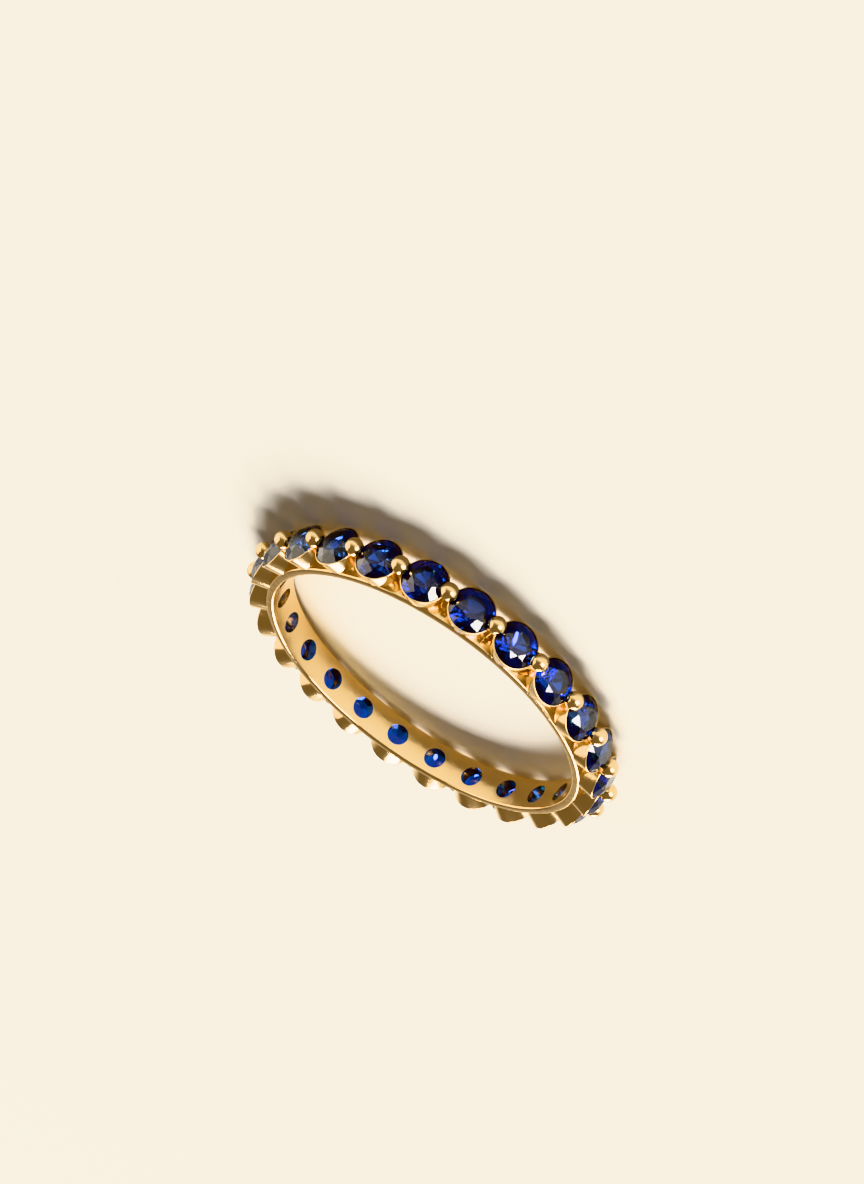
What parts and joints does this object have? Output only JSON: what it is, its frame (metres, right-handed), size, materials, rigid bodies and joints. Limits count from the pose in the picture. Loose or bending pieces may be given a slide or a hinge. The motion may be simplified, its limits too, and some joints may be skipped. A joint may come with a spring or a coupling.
{
  "type": "eternity ring",
  "caption": "Ring set all the way round with round brilliant blue stones in tapered gold cups, with one round bead prong in each gap between stones.",
  "frame": {"origin": "bottom centre of the ring's bounding box, where the ring lies on its side: on the axis of the finger hole, in the plane that the lower rims of the cups rest on", "axes": "+Z along the axis of the finger hole, straight up from the surface that the ring lies on; +X through the bead prong before the first stone"},
  "size_m": [0.0214, 0.0214, 0.0023],
  "materials": {
    "gold": "polished yellow gold",
    "sapphire": "polished facets, deep blue"
  },
  "bodies": {
    "root": {"setting": "gold", "stone_01": "sapphire", "stone_02": "sapphire", "stone_03": "sapphire", "stone_04": "sapphire", "stone_05": "sapphire", "stone_06": "sapphire", "stone_07": "sapphire", "stone_08": "sapphire", "stone_09": "sapphire", "stone_10": "sapphire", "stone_11": "sapphire", "stone_12": "sapphire", "stone_13": "sapphire", "stone_14": "sapphire", "stone_15": "sapphire", "stone_16": "sapphire", "stone_17": "sapphire", "stone_18": "sapphire", "stone_19": "sapphire", "stone_20": "sapphire", "stone_21": "sapphire", "stone_22": "sapphire", "stone_23": "sapphire", "stone_24": "sapphire"}
  },
  "joints": []
}
